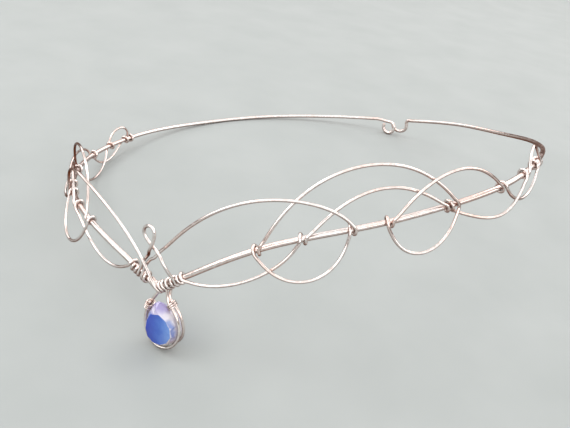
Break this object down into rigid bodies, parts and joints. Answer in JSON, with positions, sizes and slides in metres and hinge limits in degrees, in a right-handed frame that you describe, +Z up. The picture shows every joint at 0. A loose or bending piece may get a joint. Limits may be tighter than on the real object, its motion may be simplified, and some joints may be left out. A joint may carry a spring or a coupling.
{
  "type": "circlet",
  "caption": "Wire circlet: an oval head band closed by a hook and eye, with looping scroll wires on its front half, a looped finial and a faceted glass drop on the brow.",
  "frame": {"origin": "centre of the bounding box's base, on the floor that it lies on", "axes": "+Z up, +Y from the brow to the nape and its clasp, +X to the wearer's left as the circlet lies"},
  "size_m": [0.1524, 0.1905, 0.0589],
  "materials": {
    "band_wire": "polished silver plate on round copper wire, with a warm tone in its shaded edges",
    "scroll_wire": "polished silver plate on thin round copper wire",
    "hanger_wire": "polished silver plate on fine wire",
    "stone": "polished milky blue glass, cut as a flat pear with a table and a ring of facets on each face"
  },
  "bodies": {
    "root": {"head_band": "band_wire", "outer_scroll_right": "scroll_wire", "outer_scroll_left": "scroll_wire", "inner_scroll_right": "scroll_wire", "inner_scroll_left": "scroll_wire", "finial": "scroll_wire", "hanger_wire": "hanger_wire", "stone": "stone"}
  },
  "joints": []
}
